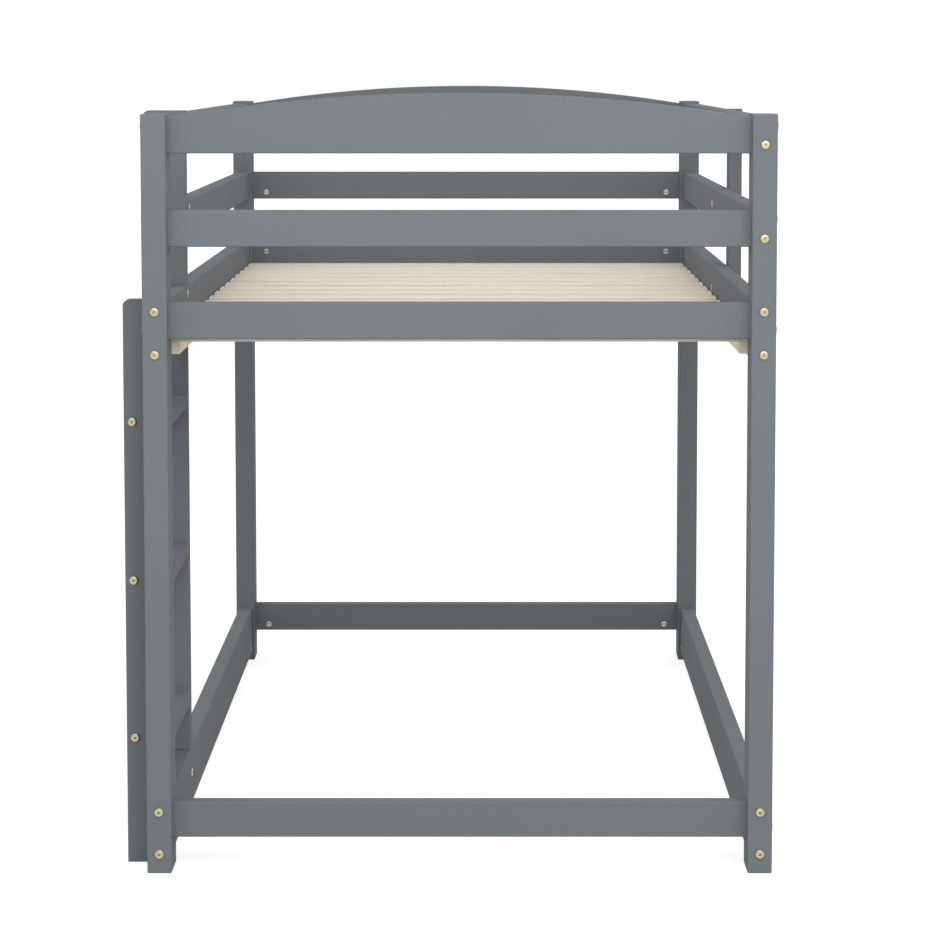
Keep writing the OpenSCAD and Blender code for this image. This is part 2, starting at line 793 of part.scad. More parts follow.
post(LEFT, FRONT);  // front_left_post
post(RIGHT, FRONT);  // front_right_post
post(LEFT, REAR);  // rear_left_post
post(RIGHT, REAR);  // rear_right_post
end_board(FRONT, 0);  // front_floor_board
end_board(FRONT, 1);  // front_deck_board
end_board(FRONT, 2);  // front_middle_board
arched_board(FRONT);  // front_arched_board
end_board(REAR, 0);  // rear_floor_board
end_board(REAR, 1);  // rear_deck_board
end_board(REAR, 2);  // rear_middle_board
arched_board(REAR);  // rear_arched_board
left_floor_rail();
left_deck_rail();
left_guard(middle_z);  // left_middle_guard
left_guard(top_z);  // left_top_guard
right_floor_rail();
right_deck_rail();
right_guard(middle_z);  // right_middle_guard
right_guard(top_z);  // right_top_guard
guard_plank();
short_stile();  // ladder_short_stile
tall_stile();  // ladder_tall_stile
rung(0);  // ladder_rung_low
rung(1);  // ladder_rung_middle
rung(2);  // ladder_rung_high
ledger(LEFT);  // left_ledger
ledger(RIGHT);  // right_ledger
for (i = [1:slat_count]) slat(i);
rail_bolts();
board_bolts();
rung_bolts();
stile_bolts();
plank_bolts();
rail_nuts();
board_nuts();
rung_nuts();
threaded_inserts();
guard_cams();
cam_pins();
dowels();
ledger_screws();
slat_screws();
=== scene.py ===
"""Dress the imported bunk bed: flat grey paint, bare pine slats, plated fittings and a pale studio."""
import logging
import math
from dataclasses import dataclass
from enum import Enum
from typing import List, Sequence, Tuple, Union

import bpy
import numpy as np
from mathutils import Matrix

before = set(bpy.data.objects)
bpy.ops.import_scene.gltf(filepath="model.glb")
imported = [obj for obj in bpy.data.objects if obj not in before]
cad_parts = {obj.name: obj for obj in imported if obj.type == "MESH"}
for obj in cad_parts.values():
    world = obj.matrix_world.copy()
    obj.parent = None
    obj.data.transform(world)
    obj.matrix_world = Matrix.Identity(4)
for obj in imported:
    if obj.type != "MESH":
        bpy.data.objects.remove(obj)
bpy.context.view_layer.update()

log = logging.getLogger("bunk_bed")

Colour = Tuple[float, float, float]
Point = Tuple[float, float, float]

ORIGIN: Point = (0.0, 0.0, 0.0)
UNSCALED: Point = (1.0, 1.0, 1.0)
WAVE_RADIANS = 20.0  # turned by a wave texture in one metre, at a scale of 1


class Grain(Enum):
    """Direction of a board's grain, with the turn that lays it along X."""

    ALONG_X = (0.0, 0.0, 0.0)
    ALONG_Y = (0.0, 0.0, -90.0)
    ALONG_Z = (0.0, 90.0, 0.0)

    def turn(self) -> Point:
        """Return the turn in radians for a Mapping node."""
        return tuple(math.radians(a) for a in self.value)


class Side(Enum):
    """Side of the bed, as its nodes are named."""

    LEFT = "left"
    RIGHT = "right"


class End(Enum):
    """End of the bed, as its nodes are named."""

    FRONT = "front"
    REAR = "rear"


def from_srgb(r: float, g: float, b: float) -> Colour:
    """Turn a display colour into a linear one, by the sRGB curve.

    Args:
        r: Red, 0 to 255.
        g: Green, 0 to 255.
        b: Blue, 0 to 255.

    Returns:
        The colour as linear red, green and blue.
    """
    c = np.array([r, g, b]) / 255.0
    low = c / 12.92
    high = ((c + 0.055) / 1.055) ** 2.4
    return tuple(float(v) for v in np.where(c <= 0.04045, low, high))


class Recipe:
    """Node tree of one material, built from the shader backwards."""

    def __init__(self, name: str) -> None:
        """Start an empty material with a Principled shader.

        Args:
            name: Name of the material.
        """
        self.material = bpy.data.materials.new(name)
        self.material.use_nodes = True
        self.tree = self.material.node_tree
        self.tree.nodes.clear()
        self.shader = self.tree.nodes.new("ShaderNodeBsdfPrincipled")
        output = self.tree.nodes.new("ShaderNodeOutputMaterial")
        self.join(self.shader.outputs["BSDF"], output.inputs["Surface"])

    def join(self, source: bpy.types.NodeSocket, target: bpy.types.NodeSocket) -> None:
        """Link one socket to another."""
        self.tree.links.new(source, target)

    def place(self, turn: Point, scale: Point, shift: Point) -> bpy.types.NodeSocket:
        """Read the object's own coordinates through Mapping nodes.

        Args:
            turn: Turn in radians, applied first.
            scale: Scale along each turned axis.
            shift: Shift after the scale.

        Returns:
            The mapped position.
        """
        where = self.tree.nodes.new("ShaderNodeTexCoord")
        turned = self.tree.nodes.new("ShaderNodeMapping")
        turned.inputs["Rotation"].default_value = turn
        self.join(where.outputs["Object"], turned.inputs["Vector"])
        scaled = self.tree.nodes.new("ShaderNodeMapping")
        scaled.inputs["Scale"].default_value = scale
        scaled.inputs["Location"].default_value = shift
        self.join(turned.outputs["Vector"], scaled.inputs["Vector"])
        return scaled.outputs["Vector"]

    def noise(self, where: bpy.types.NodeSocket, scale: float, detail: float = 3.0,
              roughness: float = 0.5) -> bpy.types.NodeSocket:
        """Add a smooth noise over a position.

        Args:
            where: Position to read.
            scale: Features per unit of the position.
            detail: Octaves of finer noise.
            roughness: Weight of the finer octaves.

        Returns:
            The noise, about 0 to 1.
        """
        node = self.tree.nodes.new("ShaderNodeTexNoise")
        node.inputs["Scale"].default_value = scale
        node.inputs["Detail"].default_value = detail
        node.inputs["Roughness"].default_value = roughness
        self.join(where, node.inputs["Vector"])
        return node.outputs["Fac"]

    def rings(self, where: bpy.types.NodeSocket, pitch: float, wobble: float) -> bpy.types.NodeSocket:
        """Add growth rings about the grain's axis.

        The scale is a full turn over the radians that the wave turns in one pitch at a scale of 1.

        Args:
            where: Position to read, with the grain along X.
            pitch: Distance from ring to ring, in metres.
            wobble: How far the rings wander.

        Returns:
            A saw-tooth from ring to ring, 0 to 1.
        """
        node = self.tree.nodes.new("ShaderNodeTexWave")
        node.wave_type = "RINGS"
        node.rings_direction = "X"
        node.wave_profile = "SAW"
        node.inputs["Scale"].default_value = 2.0 * math.pi / WAVE_RADIANS / pitch
        node.inputs["Distortion"].default_value = wobble
        node.inputs["Detail"].default_value = 2.0
        node.inputs["Detail Scale"].default_value = 0.35
        node.inputs["Detail Roughness"].default_value = 0.5
        self.join(where, node.inputs["Vector"])
        return node.outputs["Fac"]

    def spots(self, where: bpy.types.NodeSocket, scale: float) -> bpy.types.NodeSocket:
        """Scatter points over a position.

        Args:
            where: Position to read.
            scale: Points per unit of the position.

        Returns:
            The distance to the nearest point.
        """
        node = self.tree.nodes.new("ShaderNodeTexVoronoi")
        node.inputs["Scale"].default_value = scale
        node.inputs["Randomness"].default_value = 1.0
        self.join(where, node.inputs["Vector"])
        return node.outputs["Distance"]

    def ranged(self, value: bpy.types.NodeSocket, low: float, high: float,
               out_low: float = 0.0, out_high: float = 1.0) -> bpy.types.NodeSocket:
        """Map a value from one range to another and hold it at the ends.

        Args:
            value: Value to map.
            low: Start of its range.
            high: End of its range.
            out_low: Result at the start.
            out_high: Result at the end.

        Returns:
            The mapped value.
        """
        node = self.tree.nodes.new("ShaderNodeMapRange")
        limits = {"From Min": low, "From Max": high, "To Min": out_low, "To Max": out_high}
        for key, number in limits.items():
            node.inputs[key].default_value = number
        self.join(value, node.inputs["Value"])
        return node.outputs["Result"]

    def ramp(self, value: bpy.types.NodeSocket,
             stops: Sequence[Tuple[float, Colour]]) -> bpy.types.NodeSocket:
        """Turn a value into a colour.

        Args:
            value: Value to read, 0 to 1.
            stops: Place and linear colour of each stop.

        Returns:
            The colour.
        """
        node = self.tree.nodes.new("ShaderNodeValToRGB")
        band = node.color_ramp
        while len(band.elements) < len(stops):
            band.elements.new(0.5)
        for element, (place, colour) in zip(band.elements, stops):
            element.position = place
            element.color = (*colour, 1.0)
        self.join(value, node.inputs["Fac"])
        return node.outputs["Color"]

    def blend(self, amount: bpy.types.NodeSocket, first: bpy.types.NodeSocket,
              second: bpy.types.NodeSocket) -> bpy.types.NodeSocket:
        """Blend two colours.

        A Mix node gives its sockets for numbers, vectors and colours the same names, so those for
        colours go by number.

        Args:
            amount: Share of the second colour.
            first: First colour.
            second: Second colour.

        Returns:
            The blended colour.
        """
        node = self.tree.nodes.new("ShaderNodeMix")
        node.data_type = "RGBA"
        self.join(amount, node.inputs["Factor"])
        self.join(first, node.inputs[6])
        self.join(second, node.inputs[7])
        return node.outputs[2]

    def plus(self, first: bpy.types.NodeSocket, second: bpy.types.NodeSocket) -> bpy.types.NodeSocket:
        """Add two values.

        Args:
            first: First value.
            second: Second value.

        Returns:
            Their sum.
        """
        node = self.tree.nodes.new("ShaderNodeMath")
        node.operation = "ADD"
        self.join(first, node.inputs[0])
        self.join(second, node.inputs[1])
        return node.outputs[0]

    def colour(self, value: bpy.types.NodeSocket) -> None:
        """Colour the surface."""
        self.join(value, self.shader.inputs["Base Color"])

    def roughness(self, value: bpy.types.NodeSocket) -> None:
        """Set the surface's roughness."""
        self.join(value, self.shader.inputs["Roughness"])

    def relief(self, height: bpy.types.NodeSocket, depth: float) -> None:
        """Raise the surface's fine relief.

        Args:
            height: Height, 0 to 1.
            depth: Height of 1, in metres.
        """
        node = self.tree.nodes.new("ShaderNodeBump")
        node.inputs["Distance"].default_value = depth
        self.join(height, node.inputs["Height"])
        self.join(node.outputs["Normal"], self.shader.inputs["Normal"])


@dataclass(frozen=True)
class GreyPaint:
    """Flat grey paint over pine: an even film through which the grain shows faintly.

    Attributes:
        tone: Colour of the film.
        dull: Colour of its darker clouds.
        smooth: Lowest roughness.
        rough: Highest roughness.
        gloss: Specular level of the film.
        board_step: Shift of the pattern from one board to the next.
        cloud_scale: Clouds per metre.
        fibre_scale: Fibres per metre, along the grain and across it.
        film_scale: Brush marks per metre.
        film_share: Height of the brush marks as a share of the fibres'.
        grain_depth: Height of the raised fibres, in metres.
    """

    tone: Colour = from_srgb(115, 120, 124)
    dull: Colour = from_srgb(112, 117, 121)
    smooth: float = 0.8
    rough: float = 0.9
    gloss: float = 0.1
    board_step: Point = (0.37, 0.53, 0.71)
    cloud_scale: float = 3.0
    fibre_scale: Point = (2.2, 150.0, 150.0)
    film_scale: float = 240.0
    film_share: float = 0.18
    grain_depth: float = 0.00003

    def material(self, name: str, grain: Grain, board: int) -> bpy.types.Material:
        """Make the paint for one board.

        Args:
            name: Name of the board.
            grain: Direction of its grain.
            board: Number of the board, which shifts its pattern.

        Returns:
            The material.
        """
        recipe = Recipe(f"grey_paint.{name}")
        recipe.shader.inputs["Specular IOR Level"].default_value = self.gloss
        shift = tuple(step * board for step in self.board_step)
        along = recipe.place(grain.turn(), UNSCALED, shift)
        in_fibres = recipe.place(grain.turn(), self.fibre_scale, shift)
        clouds = recipe.noise(along, self.cloud_scale, detail=2.0)
        film = recipe.noise(along, self.film_scale, detail=2.0)
        fibres = recipe.noise(in_fibres, 1.0, detail=4.0, roughness=0.62)
        recipe.colour(recipe.ramp(recipe.ranged(clouds, 0.25, 0.75), [(0.0, self.dull), (1.0, self.tone)]))
        recipe.roughness(recipe.ranged(fibres, 0.3, 0.7, self.smooth, self.rough))
        raised = recipe.ranged(film, 0.3, 0.7, 0.0, self.film_share)
        recipe.relief(recipe.plus(recipe.ranged(fibres, 0.2, 0.8), raised), self.grain_depth)
        return recipe.material


@dataclass(frozen=True)
class BarePine:
    """Pale clear-lacquered pine: growth rings, long fibres and a few pin knots.

    Attributes:
        early: Colour of the early wood in a ring.
        late: Colour of the late wood, and of aged patches.
        heart: Colour round a knot.
        knot: Colour of a knot.
        smooth: Lowest roughness.
        rough: Highest roughness.
        gloss: Specular level of the lacquer.
        ring_pitch: Distance from ring to ring, in metres.
        ring_wobble: How far the rings wander.
        late_wood: Places in a ring where the late wood starts and where it is darkest.
        lean: Turn of a board out of the log's direction, in degrees.
        lean_aside: Turn to the side, as a share of the lean.
        log_scale: Scale of the rings, along the log and across it.
        cut_along: Shift along the log from one board to the next.
        cut_aside: Shift to the side from one board to the next, started again after seven.
        deck_height: Height at which the boards lie, in metres.
        pith_nearest: Least distance of a board from the log's pith, in metres.
        pith_step: Step of that distance, in metres.
        fibre_scale: Fibres per metre, along the grain and across it.
        fibre_step: Shift of the fibres from one board to the next.
        cloud_scale: Aged patches per metre, along the grain and across it.
        cloud_step: Shift of the patches from one board to the next.
        aged_share: Least and greatest share of the patches in the colour.
        knot_scale: Knots per metre, along the grain and across it.
        knot_step: Shift of the knots from one board to the next.
        knot_size: Distances from a knot's middle at which it starts to fade and is gone.
        knot_share: Share of the knot's colour in its middle.
        knot_fade: Distance at which the knot's colour has turned to the colour round it.
        grain_depth: Height of the raised grain, in metres.
    """

    early: Colour = from_srgb(241, 234, 217)
    late: Colour = from_srgb(226, 214, 190)
    heart: Colour = from_srgb(214, 198, 168)
    knot: Colour = from_srgb(196, 172, 134)
    smooth: float = 0.62
    rough: float = 0.76
    gloss: float = 0.25
    ring_pitch: float = 0.0046
    ring_wobble: float = 5.5
    late_wood: Tuple[float, float] = (0.62, 0.93)
    lean: float = 1.1
    lean_aside: float = 0.6
    log_scale: Point = (0.12, 1.0, 1.0)
    cut_along: float = 0.21
    cut_aside: float = 0.013
    deck_height: float = 0.92
    pith_nearest: float = 0.035
    pith_step: float = 0.011
    fibre_scale: Point = (6.0, 420.0, 420.0)
    fibre_step: float = 0.31
    cloud_scale: Point = (1.5, 8.0, 8.0)
    cloud_step: float = 0.77
    aged_share: Tuple[float, float] = (0.15, 0.55)
    knot_scale: Point = (2.4, 14.0, 14.0)
    knot_step: Tuple[float, float] = (1.31, 0.4)
    knot_size: Tuple[float, float] = (0.03, 0.08)
    knot_share: float = 0.6
    knot_fade: float = 0.6
    grain_depth: float = 0.00006

    def cut(self, board: int) -> Point:
        """Say where in the log a board is cut: farther along it each time, and aside and below by turns.

        Args:
            board: Number of the board.

        Returns:
            The shift of its rings.
        """
        pith = self.pith_nearest + self.pith_step * (board * 7 % 5)
        return self.cut_along * board, self.cut_aside * (board % 7), pith - self.deck_height

    def turned(self, grain: Grain, board: int) -> Point:
        """Lay a board in the log, at a slight lean to it that changes sides from board to board.

        Args:
            grain: Direction of the board's grain.
            board: Number of the board.

        Returns:
            The turn of its rings.
        """
        turn = grain.turn()
        lean = math.radians(self.lean * (1 if board % 2 else -1))
        return turn[0], turn[1] + lean, turn[2] + self.lean_aside * lean

    def material(self, name: str, grain: Grain, board: int) -> bpy.types.Material:
        """Make the wood of one board, cut from its own part of the log.

        Args:
            name: Name of the board.
            grain: Direction of its grain.
            board: Number of the board, which moves it in the log.

        Returns:
            The material.
        """
        recipe = Recipe(f"bare_pine.{name}")
        recipe.shader.inputs["Specular IOR Level"].default_value = self.gloss
        turn = grain.turn()
        in_log = recipe.place(self.turned(grain, board), self.log_scale, self.cut(board))
        in_fibres = recipe.place(turn, self.fibre_scale, (self.fibre_step * board, 0.0, 0.0))
        in_clouds = recipe.place(turn, self.cloud_scale, (self.cloud_step * board, 0.0, 0.0))
        knot_shift = tuple(step * board for step in self.knot_step)
        in_knots = recipe.place(turn, self.knot_scale, (*knot_shift, 0.0))
        rings = recipe.rings(in_log, self.ring_pitch, self.ring_wobble)
        fibres = recipe.noise(in_fibres, 1.0, detail=3.0, roughness=0.6)
        clouds = recipe.noise(in_clouds, 1.0, detail=2.0)
        knots = recipe.spots(in_knots, 1.0)
        starts, darkest = self.late_wood
        year_stops = [(0.0, self.early), (starts, self.early), (darkest, self.late), (1.0, self.early)]
        year = recipe.ramp(rings, year_stops)
        aged = recipe.ramp(recipe.ranged(clouds, 0.3, 0.75), [(0.0, self.early), (1.0, self.late)])
        wood = recipe.blend(recipe.ranged(fibres, 0.3, 0.8, *self.aged_share), year, aged)
        brown = recipe.ramp(knots, [(0.0, self.knot), (self.knot_fade, self.heart), (1.0, self.heart)])
        recipe.colour(recipe.blend(recipe.ranged(knots, *self.knot_size, self.knot_share, 0.0), wood, brown))
        recipe.roughness(recipe.ranged(fibres, 0.2, 0.8, self.smooth, self.rough))
        recipe.relief(recipe.plus(rings, fibres), self.grain_depth)
        return recipe.material


@dataclass(frozen=True)
class Plating:
    """Plated steel: a bright metal with faint clouds and fine turning marks.

    Attributes:
        name: Name of the material.
        bright: Colour of its bright clouds.
        dark: Colour of its dark clouds.
        smooth: Lowest roughness.
        rough: Highest roughness.
        cloud_scale: Clouds per metre.
        mark_scale: Turning marks per metre.
        mark_depth: Height of the turning marks, in metres.
    """

    name: str
    bright: Colour
    dark: Colour
    smooth: float = 0.26
    rough: float = 0.4
    cloud_scale: float = 260.0
    mark_scale: float = 2600.0
    mark_depth: float = 0.00001

    def material(self) -> bpy.types.Material:
        """Make the metal.

        Returns:
            The material.
        """
        recipe = Recipe(self.name)
        recipe.shader.inputs["Metallic"].default_value = 1.0
        where = recipe.place(ORIGIN, UNSCALED, ORIGIN)
        clouds = recipe.noise(where, self.cloud_scale, detail=3.0)
        recipe.colour(recipe.ramp(recipe.ranged(clouds, 0.3, 0.7), [(0.0, self.dark), (1.0, self.bright)]))
        recipe.roughness(recipe.ranged(clouds, 0.3, 0.7, self.smooth, self.rough))
        recipe.relief(recipe.noise(where, self.mark_scale, detail=2.0), self.mark_depth)
        return recipe.material


YELLOW_ZINC = Plating("yellow_zinc", from_srgb(187, 181, 156), from_srgb(173, 165, 134))
# Darker tan plating for the bolts' hex sockets: painted shade in the recess.
SOCKET_PAINTED_SHADE_ZINC = Plating("yellow_zinc_socket_painted_shade", from_srgb(208, 190, 138), from_srgb(195, 173, 120), 0.4, 0.55)
BRIGHT_ZINC = Plating("bright_zinc", from_srgb(222, 224, 212), from_srgb(172, 169, 152))
NUT_ZINC = Plating("nut_zinc", from_srgb(212, 214, 199), from_srgb(168, 166, 147))
# Dark plating for the nuts' slots, rims and barrels: painted shade in the slot and a painted shadow ring
# round the rim.
NUT_RIM_PAINTED_SHADE_ZINC = Plating("nut_rim_painted_shade_zinc", from_srgb(112, 113, 100), from_srgb(84, 84, 72), 0.4, 0.55)
GREY_PAINT = GreyPaint()
BARE_PINE = BarePine()
# Paler, warmer pine for the ledgers: painted light on their ends, which sit in shade under the deck board.
LEDGER_PINE_PAINTED_LIGHT = BarePine(early=from_srgb(250, 240, 216), late=from_srgb(244, 230, 198))
BEECH = BarePine(early=from_srgb(214, 184, 146), late=from_srgb(190, 152, 112),
                 heart=from_srgb(180, 140, 100), knot=from_srgb(190, 152, 112), ring_pitch=0.0022)


def wear(node: str, material: bpy.types.Material) -> None:
    """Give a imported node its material.

    Args:
        node: Name of the node.
        material: Material for all of it.
    """
    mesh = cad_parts[node].data
    mesh.materials.clear()
    mesh.materials.append(material)


def solids_of(points: np.ndarray, edges: np.ndarray) -> Tuple[np.ndarray, int]:
    """Number the separate solids of a mesh.

    Points at one place count as one. Each point starts with its own number and takes the lowest
    number along its edges, again and again, until none changes.

    Args:
        points: Places of the vertices, one row each.
        edges: Vertex numbers at the ends of the edges, one row each.

    Returns:
        The number of the solid for each vertex, and how many solids there are.
    """
    _, where = np.unique(np.round(points, 6), axis=0, return_inverse=True)
    where = where.reshape(-1)
    ends = where[edges]
    lowest = np.arange(where.max() + 1)
    while True:
        least = lowest[ends].min(axis=1)
        spread = lowest.copy()
        np.minimum.at(spread, ends[:, 0], least)
        np.minimum.at(spread, ends[:, 1], least)
        spread = spread[spread]
        if np.array_equal(spread, lowest):
            break
        lowest = spread
    numbers, solid = np.unique(lowest[where], return_inverse=True)
    return solid.reshape(-1), len(numbers)


class Solids:
    """The separate solids of one mesh, with the solid, the middle and the axis of each face."""

    def __init__(self, mesh: bpy.types.Mesh) -> None:
        """Read the mesh and work out its solids.

        Each solid lies along the longest side of its own box, with its axis in the middle of the other two.

        Args:
            mesh: Mesh of the fasteners.
        """
        points = self.read(mesh.vertices, "co", 3, np.float32).astype(float)
        edges = self.read(mesh.edges, "vertices", 2, np.int32)
        first = self.read(mesh.polygons, "loop_start", 1, np.int32).reshape(-1)
        corners = self.read(mesh.loops, "vertex_index", 1, np.int32).reshape(-1)
        self.solid, self.count = solids_of(points, edges)
        low = np.full((self.count, 3), np.inf)
        high = np.full((self.count, 3), -np.inf)
        np.minimum.at(low, self.solid, points)
        np.maximum.at(high, self.solid, points)
        self.middle = (low + high) / 2
        self.along = np.eye(3)[np.argmax(high - low, axis=1)]
        self.half = ((high - low) * self.along).sum(axis=1) / 2
        self.owner = self.solid[corners[first]]
        self.point_lengthwise, self.point_aside = self.measure(points, self.solid)
        centres = self.read(mesh.polygons, "center", 3, np.float32).astype(float)
        self.face_lengthwise, self.face_aside = self.measure(centres, self.owner)

    @staticmethod
    def read(items: bpy.types.bpy_prop_collection, key: str, width: int, kind: type) -> np.ndarray:
        """Read one property of all items.

        Args:
            items: Vertices, edges, polygons or loops.
            key: Name of the property.
            width: Numbers in each item's property.
            kind: Type of the numbers.

        Returns:
            The numbers, one row for each item.
        """
        numbers = np.empty(width * len(items), dtype=kind)
        items.foreach_get(key, numbers)
        return numbers.reshape(-1, width)

    def measure(self, places: np.ndarray, solid: np.ndarray) -> Tuple[np.ndarray, np.ndarray]:
        """Measure places against the axes of their solids.

        Args:
            places: Places, one row each.
            solid: Number of the solid of each place.

        Returns:
            The distance along the axis from the solid's middle, and the distance from the axis.
        """
        offset = places - self.middle[solid]
        lengthwise = (offset * self.along[solid]).sum(axis=1)
        aside = np.linalg.norm(offset - lengthwise[:, None] * self.along[solid], axis=1)
        return lengthwise, aside


class Region:
    """A part of every fastener in a node that has a darker plating of its own, as painted shade."""

    def faces(self, mesh: bpy.types.Mesh) -> np.ndarray:
        """Find the region's faces.

        Args:
            mesh: Mesh of the fasteners.

        Returns:
            True for each face in the region.
        """
        raise NotImplementedError


@dataclass(frozen=True)
class Sockets(Region):
    """The hex sockets in bolts, coloured darker than the heads as painted shade in the recess.

    Attributes:
        reach: A little more than the distance of a socket's corners from the axis, in metres.
        depth: A little more than the distance from the head's top to the socket's floor, in metres.
        shank: Distance from the axis beyond which only a head has points, in metres.
    """

    reach: float = 0.00305
    depth: float = 0.0068
    shank: float = 0.005

    def faces(self, mesh: bpy.types.Mesh) -> np.ndarray:
        """Find the faces near a bolt's axis, and near the end that carries its head.

        Its head is where its points lie farther from the axis than the shank's.

        Args:
            mesh: Mesh of the bolts.

        Returns:
            True for each face in a socket.
        """
        bolts = Solids(mesh)
        wide = bolts.point_aside > self.shank
        side = np.zeros(bolts.count)
        np.add.at(side, bolts.solid[wide], np.sign(bolts.point_lengthwise[wide]))
        outwards = bolts.face_lengthwise * np.sign(side)[bolts.owner]
        return (bolts.face_aside < self.reach) & (outwards > bolts.half[bolts.owner] - self.depth)


@dataclass(frozen=True)
class Barrels(Region):
    """The slots, rims and barrels of round nuts, rougher than their turned ends and much darker, as painted
    shade in the slot and a painted shadow ring round the rim.

    Attributes:
        skin: How far from an end a face may lie and still belong to it, in metres.
    """

    skin: float = 0.00005

    def faces(self, mesh: bpy.types.Mesh) -> np.ndarray:
        """Find the faces that lie farther than the skin's depth from both ends of their nut.

        Args:
            mesh: Mesh of the nuts.

        Returns:
            True for each face off the ends.
        """
        nuts = Solids(mesh)
        return np.abs(nuts.face_lengthwise) < nuts.half[nuts.owner] - self.skin


class Assembly:
    """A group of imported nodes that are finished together.

    Each wooden board has a number of its own, counted from its group's first_board, so no two look alike.

    Attributes:
        title: Name of the group in the report.
    """

    title: str

    def dress(self) -> List[str]:
        """Finish every node of the group.

        Returns:
            The names of the nodes.
        """
        raise NotImplementedError

    @staticmethod
    def finish_boards(nodes: Sequence[str], finish: Union[GreyPaint, BarePine], grain: Grain,
                      first_board: int) -> List[str]:
        """Finish each node as a board of its own.

        Args:
            nodes: Names of the nodes.
            finish: Paint or bare wood.
            grain: Direction of their grain.
            first_board: Number of the first board.

        Returns:
            The names of the nodes.
        """
        for number, node in enumerate(nodes, first_board):
            wear(node, finish.material(node, grain, number))
        return list(nodes)


@dataclass
class Posts(Assembly):
    """The corner posts, with upright grain."""

    title: str = "posts"
    finish: GreyPaint = GREY_PAINT
    first_board: int = 1

    def dress(self) -> List[str]:
        """Paint the posts."""
        nodes = [f"{end.value}_{side.value}_post" for end in End for side in Side]
        return self.finish_boards(nodes, self.finish, Grain.ALONG_Z, self.first_board)


@dataclass
class EndBoards(Assembly):
    """The boards across one end, with grain along them.

    Attributes:
        end: End of the bed.
        levels: Names of the boards, from the floor up.
        finish: Paint of the boards.
        first_board: Number of the lowest board.
    """

    end: End
    levels: Sequence[str] = ("floor", "deck", "middle", "arched")
    finish: GreyPaint = GREY_PAINT
    first_board: int = 11

    @property
    def title(self) -> str:
        """Name of the group in the report."""
        return f"{self.end.value} end boards"

    def dress(self) -> List[str]:
        """Paint the boards."""
        nodes = [f"{self.end.value}_{level}_board" for level in self.levels]
        return self.finish_boards(nodes, self.finish, Grain.ALONG_X, self.first_board)


@dataclass
class SideRails(Assembly):
    """The rails and guards of one side, with grain along the bed.

    Attributes:
        side: Side of the bed.
        levels: Names of the rails and guards, from the floor up.
        finish: Paint of the rails.
        first_board: Number of the lowest rail.
    """

    side: Side
    levels: Sequence[str] = ("floor_rail", "deck_rail", "middle_guard", "top_guard")
    finish: GreyPaint = GREY_PAINT
    first_board: int = 31

    @property
    def title(self) -> str:
        """Name of the group in the report."""
        return f"{self.side.value} rails"

    def dress(self) -> List[str]:
        """Paint the rails."""
        nodes = [f"{self.side.value}_{level}" for level in self.levels]
        return self.finish_boards(nodes, self.finish, Grain.ALONG_Y, self.first_board)


@dataclass
class Uprights(Assembly):
    """The ladder's stiles and the guard plank, with upright grain."""

    title: str = "stiles and guard plank"
    nodes: Sequence[str] = ("ladder_short_stile", "ladder_tall_stile", "guard_plank")
    finish: GreyPaint = GREY_PAINT
    first_board: int = 51

    def dress(self) -> List[str]:
        """Paint the uprights."""
        return self.finish_boards(self.nodes, self.finish, Grain.ALONG_Z, self.first_board)


@dataclass
class Rungs(Assembly):
    """The ladder's rungs, with grain from stile to stile."""

    title: str = "rungs"
    nodes: Sequence[str] = ("ladder_rung_low", "ladder_rung_middle", "ladder_rung_high")
    finish: GreyPaint = GREY_PAINT
    first_board: int = 61

    def dress(self) -> List[str]:
        """Paint the rungs."""
        return self.finish_boards(self.nodes, self.finish, Grain.ALONG_Y, self.first_board)


@dataclass
class SlatDeck(Assembly):
    """The bare slats and the ledgers that carry them.

    Attributes:
        finish: Wood of the slats.
        ledger_painted_light_finish: Wood of the ledgers, paler than the slats' as painted light on their
            shaded ends.
        first_board: Number of the slat nearest the ladder.
    """

    title: str = "slat deck"
    finish: BarePine = BARE_PINE
    ledger_painted_light_finish: BarePine = LEDGER_PINE_PAINTED_LIGHT
    first_board: int = 71

    def dress(self) -> List[str]:
        """Finish each slat, with grain across the bed, and each ledger, with grain along it.

        Returns:
            The names of the nodes.
        """
        slats = sorted(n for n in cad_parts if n.startswith("slat_") and n != "slat_screws")
        ledgers = [f"{side.value}_ledger" for side in Side]
        self.finish_boards(slats, self.finish, Grain.ALONG_X, self.first_board)
        # The ledgers take the paler pine, as painted light.
        self.finish_boards(ledgers, self.ledger_painted_light_finish, Grain.ALONG_Y, self.first_board + len(slats))
        return slats + ledgers


@dataclass
class Fittings(Assembly):
    """One finish of fastener, shared by all its nodes.

    Attributes:
        finish: Plating of the fasteners.
        nodes: Names of their nodes.
    """

    title: str
    finish: Plating
    nodes: Sequence[str]

    def dress(self) -> List[str]:
        """Plate the fasteners.

        Returns:
            The names of the nodes.
        """
        metal = self.finish.material()
        for node in self.nodes:
            wear(node, metal)
        return list(self.nodes)


@dataclass
class TwoToneFittings(Fittings):
    """Fasteners with a darker second plating on one region of each, as painted shade.

    Attributes:
        region: Faces that have the darker plating.
        region_painted_shade: Darker plating of those faces, as painted shade.
    """

    region: Region
    region_painted_shade: Plating

    def dress(self) -> List[str]:
        """Plate the fasteners, and then the region.

        Returns:
            The names of the nodes.
        """
        super().dress()
        region_metal = self.region_painted_shade.material()
        for node in self.nodes:
            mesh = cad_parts[node].data
            mesh.materials.append(region_metal)
            mesh.polygons.foreach_set("material_index", self.region.faces(mesh).astype(np.int32))
        return list(self.nodes)


@dataclass
class Dowels(Assembly):
    """The wooden dowels inside the joints."""

    title: str = "dowels"
    finish: BarePine = BEECH
    first_board: int = 97

    def dress(self) -> List[str]:
        """Finish the dowels as one board."""
        return self.finish_boards(["dowels"], self.finish, Grain.ALONG_Y, self.first_board)


